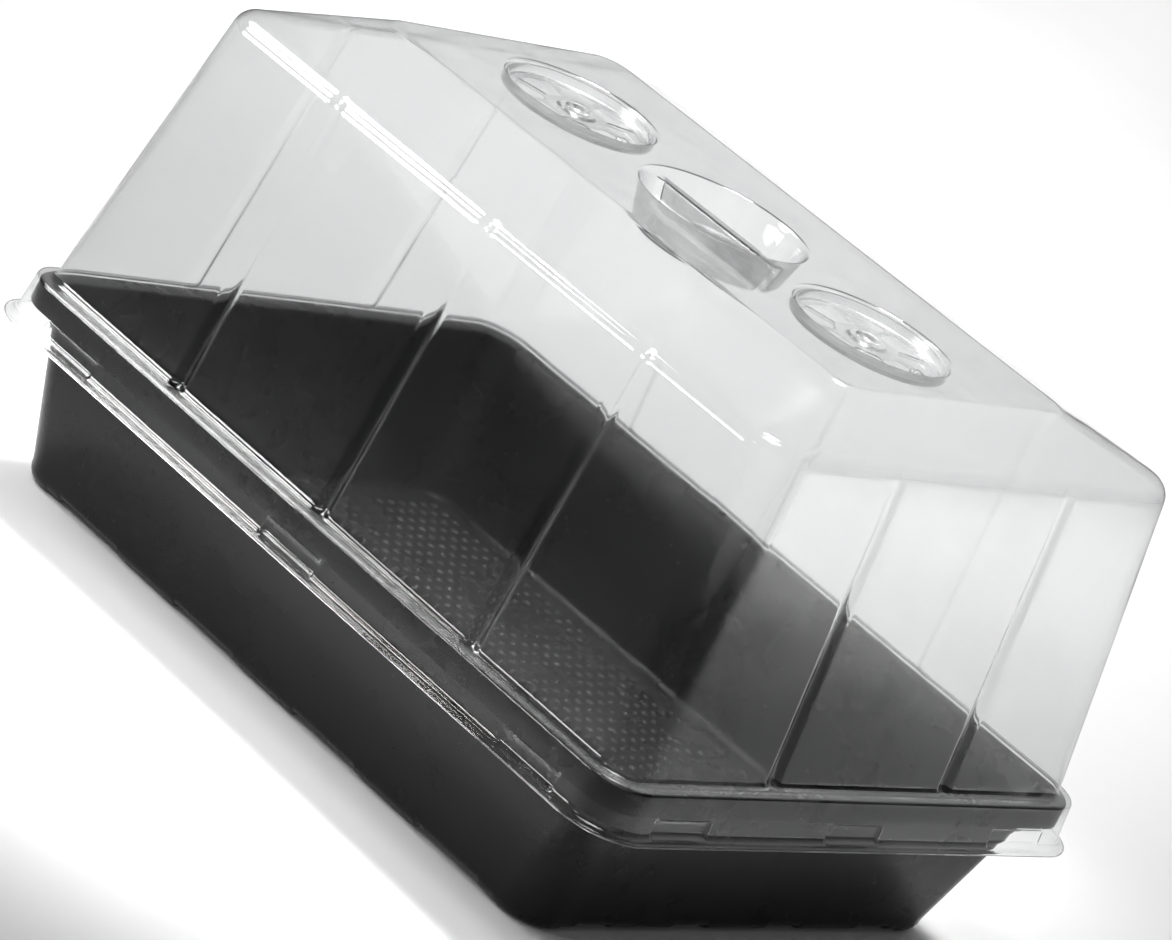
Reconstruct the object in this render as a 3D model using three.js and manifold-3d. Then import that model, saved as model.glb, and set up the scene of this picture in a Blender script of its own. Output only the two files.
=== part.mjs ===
// A large seed-raising propagator: a deep black tray under a tall clear dome.
//
// The dome drops over the tray's rim and lifts straight off. Its roof carries a raised panel with
// three round features in a row: a recessed hand grip in the middle, and a rotary vent at each side.
// A vent is a dished shutter disc with four slots, held on a slotted seat by a push-in stud.
//
// Millimetres, +Z up. X runs along the tray, Y across it. The origin is on the ground, under the
// middle of the tray.

import * as THREE from 'three';
import { mergeVertices } from 'three/addons/utils/BufferGeometryUtils.js';
import Module from 'manifold-3d';

const wasm = await Module();
wasm.setup();

// ---- driving dimensions ---------------------------------------------------------------------------

const RUNNING_GAP = 0.3;          // clearance between pieces that touch
const OVERSHOOT = 1;              // how far a cutting tool passes the face that it cuts
const CORNER_STEPS = 6;           // straight steps in each rounded corner
const LEAST_CORNER = 0.5;
const ROUND_SIDES = 48;           // sides of a round piece

// Outlines seen from above: a rectangle with round corners.
const TRAY_RIM = { length: 487, width: 377, corner: 23 };
const TRAY_WALL_TOP = { length: 468, width: 360, corner: 19 };
const TRAY_WALL_FOOT = { length: 429, width: 330, corner: 23 };
const DOME_LIP = { length: 507, width: 397, corner: 32 };
const DOME_SKIRT_FOOT = { length: 496, width: 386, corner: 27 };
const DOME_SKIRT_TOP = { length: 492, width: 382, corner: 25 };
const DOME_WALL_FOOT = { length: 475, width: 365, corner: 20 };
const DOME_SHOULDER = { length: 439, width: 338, corner: 25 };
const ROOF_PANEL = { length: 365, width: 185, corner: 14 };

// Tray heights above the ground.
const RIM_TOP = 100;
const RIM_EDGE_DROP = 13;         // depth of the rim's turned-down edge
const FLOOR_TOP = 8;
const FLOOR_UNDERSIDE = 4.8;
const TRAY_WALL = 2.4;
const RIM_EDGE = 2.2;             // thickness of the turned-down edge
const RIM_ROUND = 1.2;            // rounding of the rim's edges
const BASE_ROUND = 6;             // rounding between the walls and the base
const BASE_ROUND_START = 7.8;     // height at which the rounding leaves the wall
const BASE_ROUND_MIDDLE = 2.4;    // inset and height of the rounding's middle step
const BASE_LAND = 7;              // width of the ring that the tray stands on

// The standing ring is lowest at the four corners, and is arched between its side pads.
const CORNER_FOOT = 28;           // length of a corner foot along each side
const PAD_HEIGHT = 1.2;
const ARCH_HEIGHT = 3.2;
const LONG_ARCH = { centres: [-150, -50, 50, 150], length: 50 };
const SHORT_ARCH = { centres: [-112.5, -37.5, 37.5, 112.5], length: 27 };

// Dome heights above its ledge's underside.
const DOME_WALL = 2;
const WALL_TOP = 171.7;           // where the shoulder's rounding leaves the wall
const SHOULDER = 174.5;           // middle of the shoulder's rounding
const ROOF_EDGE = 176.5;          // where the rounding meets the sloping roof
const SHOULDER_MIDDLE_INSET = 1;
const ROOF_EDGE_INSET = 4;
const PANEL_TOP = 196;
const PANEL_ROUND = 2;
const SKIRT_DROP = 20;            // from the ledge's underside to the lip
const LIP_DROP = 24.3;            // from the ledge's underside to the lip's lower edge
const LEDGE_ROUND = 1.6;

// V-shaped stiffening flutes in the dome's walls.
const FLUTE = { width: 7, depth: 2.5, foot: 4, top: 169 };
const FLUTE_RIDGE = { root: -1, halfWidth: 3.6, apex: -4.5 };   // the bulge it makes indoors
const LONG_WALL_FLUTES = [-120, 0, 120];
const SHORT_WALL_FLUTES = [-70, 70];

// Snap lugs: pockets pressed into the skirt, just below the tray's turned-down edge.
const LUG = { width: 42, bottom: -22.5, top: -12.5, inset: 1.7 };
const LUG_EDGE = 2;               // thickness round a pocket
const LONG_WALL_LUGS = [-188, 0, 188];
const SHORT_WALL_LUGS = [-136, 0, 136];

// Recessed hand grip: a tapered well with an upstanding bar across it.
const GRIP_TOP_RADIUS = 47.5;
const GRIP_BOTTOM_RADIUS = 41.5;
const GRIP_DEPTH = 22;
const GRIP_BAR = 8;               // thickness of the bar
const GRIP_BAR_DROP = 5;          // from the panel to the bar's top

// Rotary vents.
const VENT_SPACING = 115;         // from the dome's middle to each vent's axis
const SEAT_RADIUS = 43.5;
const SEAT_DEPTH = 7;
const VENT_SLOT = { count: 4, inner: 15, outer: 36, angle: THREE.MathUtils.degToRad(40) };
const SLOT_STEPS = 6;
const DISC_RADIUS = 42.6;
const DISC_THICKNESS = 1.8;
const DISC_RIM = 1.6;
const DISC_RIM_HEIGHT = 5.5;
const DISC_HUB_RADIUS = 11;
const DISC_HUB_HEIGHT = 2.6;
const DISC_HUB_CHAMFER = 1;
const FINGER_TAB = { width: 7, reach: 5, middle: 39 };
const STUD_SHAFT_RADIUS = 3;
const STUD_HOLE_RADIUS = 3.3;
const STUD_HEAD_RADIUS = 7;
const STUD_HEAD_HEIGHT = 2;
const STUD_CROWN_RADIUS = 5.6;
const STUD_CROWN_HEIGHT = 1.4;
const STUD_BARB_RADIUS = 4.2;
const STUD_BARB_LENGTH = 5;
const STUD_TIP_RADIUS = 2;
const STUD_SLIT = 1.2;

// ---- materials ------------------------------------------------------------------------------------

function blackPlastic() {
  return new THREE.MeshStandardMaterial({ color: 0x232323, roughness: 0.45, metalness: 0 });
}

function clearPlastic() {
  return new THREE.MeshStandardMaterial({ color: 0xe4e8e8, roughness: 0.08, metalness: 0 });
}

// ---- solids ---------------------------------------------------------------------------------------

function toSolid(geometry) {
  const bare = geometry.clone();
  bare.deleteAttribute('normal');
  bare.deleteAttribute('uv');
  const merged = mergeVertices(bare, 1e-4);
  return new wasm.Manifold(new wasm.Mesh({
    numProp: 3,
    vertProperties: new Float32Array(merged.attributes.position.array),
    triVerts: new Uint32Array(merged.index.array),
  }));
}

function toGeometry(solid) {
  const mesh = solid.getMesh();
  const geometry = new THREE.BufferGeometry();
  geometry.setAttribute('position', new THREE.BufferAttribute(mesh.vertProperties, 3));
  geometry.setIndex(new THREE.BufferAttribute(mesh.triVerts, 1));
  geometry.computeVertexNormals();
  return geometry;
}

function namedMesh(name, solid, material) {
  const mesh = new THREE.Mesh(toGeometry(solid), material);
  mesh.name = name;
  return mesh;
}

function box(lengthX, lengthY, bottom, top, x = 0, y = 0) {
  const geometry = new THREE.BoxGeometry(lengthX, lengthY, top - bottom);
  geometry.translate(x, y, (top + bottom) / 2);
  return toSolid(geometry);
}

// A round solid from a profile of [radius, height] pairs that runs upwards from axis to axis.
function turned(profile) {
  const points = profile.map(([radius, height]) => new THREE.Vector2(radius, height));
  const geometry = new THREE.LatheGeometry(points, ROUND_SIDES);
  geometry.rotateX(Math.PI / 2);
  return toSolid(geometry);
}

function cylinder(radius, bottom, top) {
  return turned([[0, bottom], [radius, bottom], [radius, top], [0, top]]);
}

// The points of an outline, moved inwards by inset, at height z.
function ring(outline, inset, z) {
  const corner = Math.max(outline.corner - inset, LEAST_CORNER);
  const reachX = outline.length / 2 - inset - corner;
  const reachY = outline.width / 2 - inset - corner;
  const signs = [[1, 1], [-1, 1], [-1, -1], [1, -1]];
  return signs.flatMap(([signX, signY], quarter) => {
    const arc = [];
    for (let step = 0; step <= CORNER_STEPS; step += 1) {
      const angle = (quarter + step / CORNER_STEPS) * Math.PI / 2;
      const x = signX * reachX + corner * Math.cos(angle);
      const y = signY * reachY + corner * Math.sin(angle);
      arc.push(new THREE.Vector3(x, y, z));
    }
    return arc;
  });
}

// A closed thin-walled bowl. Each ring is joined to the next, and the first and last are filled in.
// The rings run from the middle of one face, over the edge, to the middle of the other.
function bowl(rings) {
  const count = rings[0].length;
  const points = rings.flat();
  const index = [];
  for (let row = 0; row < rings.length - 1; row += 1) {
    for (let i = 0; i < count; i += 1) {
      const next = (i + 1) % count;
      const here = row * count;
      const below = here + count;
      index.push(here + i, below + i, below + next);
      index.push(here + i, below + next, here + next);
    }
  }
  const lastRow = (rings.length - 1) * count;
  points.push(new THREE.Vector3(0, 0, rings[0][0].z));
  points.push(new THREE.Vector3(0, 0, rings[rings.length - 1][0].z));
  for (let i = 0; i < count; i += 1) {
    const next = (i + 1) % count;
    index.push(points.length - 2, i, next);
    index.push(points.length - 1, lastRow + next, lastRow + i);
  }
  const geometry = new THREE.BufferGeometry().setFromPoints(points);
  geometry.setIndex(index);
  return toSolid(geometry);
}

// The four sides. A piece is made on the +X side and turned round to the one that it belongs on.
const SIDES = [
  { turn: -Math.PI / 2, long: true },
  { turn: Math.PI / 2, long: true },
  { turn: 0, long: false },
  { turn: Math.PI, long: false },
];

// Half the distance across an outline, from the middle to the given side.
function halfSpan(outline, side) {
  return (side.long ? outline.width : outline.length) / 2;
}

// ---- tray -----------------------------------------------------------------------------------------

function makeTray() {
  const edgeFoot = RIM_TOP - RIM_EDGE_DROP;
  const shell = bowl([
    ring(TRAY_WALL_FOOT, TRAY_WALL + RIM_ROUND, FLOOR_TOP),
    ring(TRAY_WALL_FOOT, TRAY_WALL, FLOOR_TOP + RIM_ROUND),
    ring(TRAY_WALL_TOP, TRAY_WALL, RIM_TOP - RIM_ROUND),
    ring(TRAY_WALL_TOP, TRAY_WALL - RIM_ROUND, RIM_TOP),
    ring(TRAY_RIM, RIM_ROUND, RIM_TOP),
    ring(TRAY_RIM, 0, RIM_TOP - RIM_ROUND),
    ring(TRAY_RIM, 0, edgeFoot),
    ring(TRAY_RIM, RIM_EDGE, edgeFoot),
    ring(TRAY_RIM, RIM_EDGE, RIM_TOP - TRAY_WALL),
    ring(TRAY_WALL_TOP, 0, RIM_TOP - TRAY_WALL),
    ring(TRAY_WALL_FOOT, 0, BASE_ROUND_START),
    ring(TRAY_WALL_FOOT, BASE_ROUND_MIDDLE, BASE_ROUND_MIDDLE),
    ring(TRAY_WALL_FOOT, BASE_ROUND, 0),
    ring(TRAY_WALL_FOOT, BASE_ROUND + BASE_LAND, 0),
    ring(TRAY_WALL_FOOT, BASE_ROUND + BASE_LAND + RIM_ROUND, FLOOR_UNDERSIDE),
  ]);
  return baseCuts().reduce((tray, cut) => tray.subtract(cut), shell);
}

// What is cut out of the standing ring: the low pads between the corner feet, and their arches.
function baseCuts() {
  const acrossX = TRAY_WALL_FOOT.length + OVERSHOOT;
  const acrossY = TRAY_WALL_FOOT.width + OVERSHOOT;
  const betweenFeetX = TRAY_WALL_FOOT.length - 2 * CORNER_FOOT;
  const betweenFeetY = TRAY_WALL_FOOT.width - 2 * CORNER_FOOT;
  const cuts = [
    box(betweenFeetX, acrossY, -OVERSHOOT, PAD_HEIGHT),
    box(acrossX, betweenFeetY, -OVERSHOOT, PAD_HEIGHT),
  ];
  for (const x of LONG_ARCH.centres) {
    cuts.push(box(LONG_ARCH.length, acrossY, -OVERSHOOT, ARCH_HEIGHT, x, 0));
  }
  for (const y of SHORT_ARCH.centres) {
    cuts.push(box(acrossX, SHORT_ARCH.length, -OVERSHOOT, ARCH_HEIGHT, 0, y));
  }
  return cuts;
}

// ---- dome -----------------------------------------------------------------------------------------

function makeDome() {
  let dome = domeShell();
  for (const side of SIDES) {
    const flutes = side.long ? LONG_WALL_FLUTES : SHORT_WALL_FLUTES;
    const lugs = side.long ? LONG_WALL_LUGS : SHORT_WALL_LUGS;
    for (const along of flutes) {
      dome = dome.add(fluteRidge(side, along)).subtract(fluteGroove(side, along));
    }
    for (const along of lugs) {
      dome = dome.add(lugBlock(side, along)).subtract(lugPocket(side, along));
    }
  }
  dome = dome.add(gripCup()).subtract(gripHollow());
  for (const x of [-VENT_SPACING, VENT_SPACING]) {
    dome = dome.add(ventSeat().translate([x, 0, PANEL_TOP]));
    dome = dome.subtract(ventRecess().translate([x, 0, PANEL_TOP]));
  }
  return dome;
}

function domeShell() {
  const lipTop = -SKIRT_DROP - DOME_WALL / 2;
  return bowl([
    ring(ROOF_PANEL, PANEL_ROUND, PANEL_TOP),
    ring(ROOF_PANEL, -PANEL_ROUND, PANEL_TOP - PANEL_ROUND / 2),
    ring(DOME_SHOULDER, ROOF_EDGE_INSET, ROOF_EDGE),
    ring(DOME_SHOULDER, SHOULDER_MIDDLE_INSET, SHOULDER),
    ring(DOME_SHOULDER, 0, WALL_TOP),
    ring(DOME_WALL_FOOT, 0, DOME_WALL + LEDGE_ROUND),
    ring(DOME_WALL_FOOT, -LEDGE_ROUND, DOME_WALL),
    ring(DOME_SKIRT_TOP, LEDGE_ROUND, DOME_WALL),
    ring(DOME_SKIRT_TOP, 0, DOME_WALL - LEDGE_ROUND),
    ring(DOME_SKIRT_FOOT, 0, -SKIRT_DROP),
    ring(DOME_LIP, LEDGE_ROUND, lipTop),
    ring(DOME_LIP, 0, lipTop - LEDGE_ROUND),
    ring(DOME_LIP, 0, -LIP_DROP),
    ring(DOME_LIP, DOME_WALL, -LIP_DROP),
    ring(DOME_SKIRT_FOOT, DOME_WALL, -SKIRT_DROP - DOME_WALL),
    ring(DOME_SKIRT_TOP, DOME_WALL, -LEDGE_ROUND),
    ring(DOME_SKIRT_TOP, DOME_WALL + LEDGE_ROUND, 0),
    ring(DOME_WALL_FOOT, DOME_WALL, 0),
    ring(DOME_SHOULDER, DOME_WALL, WALL_TOP),
    ring(DOME_SHOULDER, DOME_WALL + ROOF_EDGE_INSET, ROOF_EDGE - DOME_WALL),
    ring(ROOF_PANEL, 0, PANEL_TOP - PANEL_ROUND / 2 - DOME_WALL),
    ring(ROOF_PANEL, PANEL_ROUND, PANEL_TOP - DOME_WALL),
  ]);
}

// A three-cornered bar that lies along the slope of one wall. Its section is given as [outwards,
// across] pairs, measured from the wall's outer face.
function wallBar(side, along, section, foot, top) {
  const footReach = halfSpan(DOME_WALL_FOOT, side);
  const shoulderReach = halfSpan(DOME_SHOULDER, side);
  const slopeFoot = DOME_WALL + LEDGE_ROUND;
  const lean = (footReach - shoulderReach) / (WALL_TOP - slopeFoot);
  const rise = new THREE.Vector3(-lean, 0, 1).normalize();
  const across = new THREE.Vector3(0, 1, 0);
  const outwards = new THREE.Vector3().crossVectors(across, rise);
  const start = new THREE.Vector3(footReach - lean * (foot - slopeFoot), along, foot);
  const shape = new THREE.Shape(section.map(([x, y]) => new THREE.Vector2(x, y)));
  const depth = (top - foot) / rise.z;
  const geometry = new THREE.ExtrudeGeometry(shape, { depth, bevelEnabled: false });
  const place = new THREE.Matrix4().makeBasis(outwards, across, rise).setPosition(start);
  geometry.applyMatrix4(place);
  geometry.rotateZ(side.turn);
  return toSolid(geometry);
}

function fluteGroove(side, along) {
  const { width, depth, foot, top } = FLUTE;
  const half = (width / 2) * (1 + OVERSHOOT / depth);
  const section = [[-depth, 0], [OVERSHOOT, -half], [OVERSHOOT, half]];
  return wallBar(side, along, section, foot, top);
}

// The bulge that the groove makes inside the wall.
function fluteRidge(side, along) {
  const { root, halfWidth, apex } = FLUTE_RIDGE;
  const section = [[apex, 0], [root, -halfWidth], [root, halfWidth]];
  return wallBar(side, along, section, FLUTE.foot + DOME_WALL, FLUTE.top);
}

// The thickened block inside the skirt that a lug's pocket is then pressed into.
function lugBlock(side, along) {
  const skirt = halfSpan(DOME_SKIRT_FOOT, side) - DOME_WALL;
  return skirtBox(side, along, skirt - LUG.inset, skirt + DOME_WALL / 2, 0);
}

function lugPocket(side, along) {
  const skirt = halfSpan(DOME_SKIRT_FOOT, side);
  return skirtBox(side, along, skirt - LUG.inset, skirt + OVERSHOOT, LUG_EDGE);
}

// A box of a lug's outline between two distances from the middle, with margin off every side.
function skirtBox(side, along, inner, outer, margin) {
  const across = LUG.width - 2 * margin;
  const height = LUG.top - LUG.bottom - 2 * margin;
  const geometry = new THREE.BoxGeometry(outer - inner, across, height);
  geometry.translate((outer + inner) / 2, along, (LUG.top + LUG.bottom) / 2);
  geometry.rotateZ(side.turn);
  return toSolid(geometry);
}

function gripCup() {
  const bottom = PANEL_TOP - GRIP_DEPTH - DOME_WALL;
  return turned([
    [0, bottom],
    [GRIP_BOTTOM_RADIUS + DOME_WALL, bottom],
    [GRIP_TOP_RADIUS + DOME_WALL, PANEL_TOP - DOME_WALL / 2],
    [0, PANEL_TOP - DOME_WALL / 2],
  ]);
}

// The two half-moon wells, and the slot that keeps the bar hollow from below.
function gripHollow() {
  const bottom = PANEL_TOP - GRIP_DEPTH;
  const well = turned([
    [0, bottom],
    [GRIP_BOTTOM_RADIUS, bottom],
    [GRIP_TOP_RADIUS, PANEL_TOP],
    [GRIP_TOP_RADIUS, PANEL_TOP + OVERSHOOT],
    [0, PANEL_TOP + OVERSHOOT],
  ]);
  const barTop = PANEL_TOP - GRIP_BAR_DROP;
  const bar = box(2 * GRIP_TOP_RADIUS, GRIP_BAR, bottom - DOME_WALL, barTop);
  const slot = box(
    2 * (GRIP_BOTTOM_RADIUS - DOME_WALL),
    GRIP_BAR - 2 * DOME_WALL,
    bottom - DOME_WALL - OVERSHOOT,
    barTop - DOME_WALL,
  );
  return well.subtract(bar).add(slot);
}

function ventSeat() {
  return cylinder(SEAT_RADIUS + DOME_WALL, -SEAT_DEPTH - DOME_WALL, -DOME_WALL / 2);
}

function ventRecess() {
  const recess = cylinder(SEAT_RADIUS, -SEAT_DEPTH, OVERSHOOT);
  const through = -SEAT_DEPTH - DOME_WALL - OVERSHOOT;
  const studHole = cylinder(STUD_HOLE_RADIUS, through, 0);
  return recess.add(studHole).add(ventSlots(through, 0, 0));
}

// The ring of slots shared by the seat and its disc. turn sets how far round they start.
function ventSlots(bottom, top, turn) {
  const { count, inner, outer, angle } = VENT_SLOT;
  const slots = [];
  for (let i = 0; i < count; i += 1) {
    const middle = turn + (i / count) * 2 * Math.PI;
    const shape = new THREE.Shape();
    shape.absarc(0, 0, outer, middle - angle / 2, middle + angle / 2, false);
    shape.absarc(0, 0, inner, middle + angle / 2, middle - angle / 2, true);
    shape.closePath();
    const settings = { depth: top - bottom, bevelEnabled: false, curveSegments: SLOT_STEPS };
    const geometry = new THREE.ExtrudeGeometry(shape, settings);
    geometry.translate(0, 0, bottom);
    slots.push(toSolid(geometry));
  }
  return slots.reduce((all, slot) => all.add(slot));
}

// ---- vent pieces, measured from the roof panel ----------------------------------------------------

const DISC_BOTTOM = -SEAT_DEPTH + RUNNING_GAP;
const HUB_TOP = DISC_BOTTOM + DISC_HUB_HEIGHT;

function makeVentDisc() {
  const discTop = DISC_BOTTOM + DISC_THICKNESS;
  const rimTop = DISC_BOTTOM + DISC_RIM_HEIGHT;
  const innerRadius = DISC_RADIUS - DISC_RIM;
  const dish = turned([
    [0, DISC_BOTTOM],
    [DISC_RADIUS, DISC_BOTTOM],
    [DISC_RADIUS, rimTop],
    [innerRadius, rimTop],
    [innerRadius, discTop],
    [DISC_HUB_RADIUS, discTop],
    [DISC_HUB_RADIUS - DISC_HUB_CHAMFER, HUB_TOP],
    [0, HUB_TOP],
  ]);
  const closedTurn = Math.PI / VENT_SLOT.count;
  const tabBottom = discTop - DISC_THICKNESS / 2;
  const tab = box(FINGER_TAB.reach, FINGER_TAB.width, tabBottom, rimTop, FINGER_TAB.middle);
  return dish
    .add(tab)
    .subtract(ventSlots(DISC_BOTTOM - OVERSHOOT, rimTop + OVERSHOOT, closedTurn))
    .subtract(cylinder(STUD_HOLE_RADIUS, DISC_BOTTOM - OVERSHOOT, HUB_TOP + OVERSHOOT));
}

// A push-in stud: a low domed head above the disc, and a slit barb under the seat.
function makeVentStud() {
  const headBottom = HUB_TOP + RUNNING_GAP;
  const barbTop = -SEAT_DEPTH - DOME_WALL - RUNNING_GAP;
  const tip = barbTop - STUD_BARB_LENGTH;
  const stud = turned([
    [0, tip],
    [STUD_TIP_RADIUS, tip],
    [STUD_BARB_RADIUS, barbTop],
    [STUD_SHAFT_RADIUS, barbTop],
    [STUD_SHAFT_RADIUS, headBottom],
    [STUD_HEAD_RADIUS, headBottom],
    [STUD_CROWN_RADIUS, headBottom + STUD_CROWN_HEIGHT],
    [0, headBottom + STUD_HEAD_HEIGHT],
  ]);
  const slit = box(STUD_SLIT, 2 * STUD_HEAD_RADIUS, tip - OVERSHOOT, -SEAT_DEPTH);
  return stud.subtract(slit);
}

function ventGroup(name, x) {
  const vent = new THREE.Group();
  vent.add(namedMesh(`${name}_disc`, makeVentDisc(), clearPlastic()));
  vent.add(namedMesh(`${name}_stud`, makeVentStud(), clearPlastic()));
  vent.position.set(x, 0, PANEL_TOP);
  return vent;
}

// ---- assembly -------------------------------------------------------------------------------------

const lid = new THREE.Group();
lid.add(namedMesh('dome', makeDome(), clearPlastic()));
lid.add(ventGroup('left_vent', -VENT_SPACING));
lid.add(ventGroup('right_vent', VENT_SPACING));
lid.position.z = RIM_TOP + RUNNING_GAP;

const group = new THREE.Group();
group.add(namedMesh('tray', makeTray(), blackPlastic()));
group.add(lid);

export default group;
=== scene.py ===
"""Looks of the humidity dome tray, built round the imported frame. Helpers work in millimetres."""
import math

import bmesh
import bpy
from mathutils import Matrix, Vector


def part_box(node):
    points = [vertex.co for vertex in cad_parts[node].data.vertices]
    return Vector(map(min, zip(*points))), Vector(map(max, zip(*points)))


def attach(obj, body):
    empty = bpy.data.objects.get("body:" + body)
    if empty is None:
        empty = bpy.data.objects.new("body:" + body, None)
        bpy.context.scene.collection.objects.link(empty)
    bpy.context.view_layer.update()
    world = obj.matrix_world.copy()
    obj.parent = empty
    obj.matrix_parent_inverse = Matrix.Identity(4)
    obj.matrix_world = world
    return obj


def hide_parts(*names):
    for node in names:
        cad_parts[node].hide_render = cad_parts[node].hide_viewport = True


MM = 0.001
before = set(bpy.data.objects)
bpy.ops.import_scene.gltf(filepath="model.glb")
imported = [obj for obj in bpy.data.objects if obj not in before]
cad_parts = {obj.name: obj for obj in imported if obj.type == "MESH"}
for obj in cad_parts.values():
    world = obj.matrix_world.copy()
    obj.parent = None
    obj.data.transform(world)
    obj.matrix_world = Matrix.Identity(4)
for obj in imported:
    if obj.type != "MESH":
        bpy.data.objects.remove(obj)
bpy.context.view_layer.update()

# ---- heights and places that come from the frame --------------------------------------------------

LIP_DROP = 24.3                  # the dome's lowest edge, below the underside of its ledge
PANEL_RISE = 196.0               # the roof panel's top, above the same underside
TRAY_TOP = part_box("tray")[1].z / MM
DOME_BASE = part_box("dome")[0].z / MM + LIP_DROP
PANEL_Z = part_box("dome")[1].z / MM


def centre_x(node):
    low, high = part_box(node)
    return (low.x + high.x) / 2 / MM


VENTS = {"left_vent": centre_x("left_vent_disc"), "right_vent": centre_x("right_vent_disc")}

# ---- outlines: length, width, corner radius -------------------------------------------------------

TRAY_RIM = (487, 377, 23)
TRAY_WALL_TOP = (468, 360, 19)
TRAY_WALL_FOOT = (429, 330, 23)
DOME_LIP = (507, 397, 32)
DOME_SKIRT_FOOT = (496, 386, 27)
DOME_SKIRT_TOP = (492, 382, 25)
DOME_WALL_FOOT = (475, 365, 20)
DOME_SHOULDER = (439, 338, 25)
ROOF_PANEL = (365, 185, 14)

CORNER_STEPS = 14
LONG_FLUTES = (-120, 0, 120)
SHORT_FLUTES = (-70, 70)
SHOULDER_RADIUS = 11.0
SHOULDER_FOOT_ANGLE = math.radians(6.4)     # of the outward normal above level
SHOULDER_TOP_ANGLE = math.radians(75)
SHOULDER_INSET = 10.72                      # the arc's centre, inside the shoulder's outline
SHOULDER_CENTRE = 166.37                    # and above the underside of the ledge
WALL_SHARE = 0.985                          # of the wall's height lies below the arc
BORDER_INSET = 7.87                         # where the sloping border leaves the arc
BORDER_FOOT = 177.0
BORDER_TOP = 194.7
PANEL_EDGE = 2.5                            # the roof panel's rounded edge, outside its outline
FLUTE_DEPTH = 2.5
FLUTE_HALF = 6.4
FLUTE_FADE = 0.6                 # share of its depth a flute loses on the way up
LONG_LUGS = (-188, 0, 188)
SHORT_LUGS = (-136, 0, 136)
LUG_HALF = 21
LUG_DEPTH = 1.6
DOME_WALL = 0.6
THIN_SHARE = 0.7                 # of the wall is left where the sheet is drawn down deepest
DOME_STATIONS = (221, 166)       # how far the stations go along a long and a short side
DOME_FIXED = (140, 77)           # those nearer the middle keep their places up the whole wall
DOME_STEP = 11

# ---- mesh helpers ---------------------------------------------------------------------------------


def smooth(low, high, value):
    t = min(max((value - low) / (high - low), 0.0), 1.0)
    return t * t * (3 - 2 * t)


def blend_outline(a, b, f):
    return tuple(p + (q - p) * f for p, q in zip(a, b))


def grown(outline, by):
    length, width, corner = outline
    return (length + 2 * by, width + 2 * by, corner + by)


class Ring:
    """Where the points of every ring of a moulding lie round it, so that rings join point to point.

    Stations are distances along a side from its middle. Those past fixed are spread to each
    outline's own corner, counted from reach."""

    def __init__(self, long_stations, short_stations, long_fixed, short_fixed, reach):
        self.long = sorted(long_stations)
        self.short = sorted(short_stations)
        self.fixed = (short_fixed, long_fixed)
        self.reach = reach
        self.columns = []
        for side in range(4):
            stations = self.short if side % 2 == 0 else self.long
            self.columns += [(side, t, 0.0) for t in stations]
            self.columns += [(side, None, i / CORNER_STEPS) for i in range(CORNER_STEPS + 1)]

    def place(self, t, side, reach):
        fixed = self.fixed[side % 2]
        if abs(t) <= fixed:
            return t
        own = self.reach[side % 2]
        return math.copysign(fixed + (abs(t) - fixed) / (own - fixed) * (reach - fixed), t)

    def points(self, outline, inset, z, dent=None):
        """dent(side, t) moves a point inwards by that much."""
        length, width, corner = outline
        corner = max(corner - inset, 0.6)
        reach_x = length / 2 - inset - corner
        reach_y = width / 2 - inset - corner
        found = []
        for side, t, turn in self.columns:
            angle = math.radians(90 * side)
            out = Vector((math.cos(angle), math.sin(angle)))
            along = Vector((-out.y, out.x))
            near, far = (reach_x, reach_y) if side % 2 == 0 else (reach_y, reach_x)
            if t is None:
                bend = angle + turn * math.pi / 2
                flat = out * near + along * far
                flat += Vector((math.cos(bend), math.sin(bend))) * corner
            else:
                flat = out * (near + corner) + along * self.place(t, side, far)
                if dent:
                    flat -= out * dent(side, t)
            found.append(Vector((flat.x, flat.y, z)))
        return found


def stations(span, step, features, margin=0.25):
    """Even stations over the span, with the features' own stations in place of any beside them."""
    count = int(span / step)
    even = [span * i / count for i in range(-count + 1, count)]
    kept = []
    for t in sorted(features):
        if not kept or t - kept[-1] > margin:
            kept.append(t)
    clear = [t for t in even if all(abs(t - k) > step * 0.45 for k in kept)]
    return sorted(kept + clear)


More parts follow.
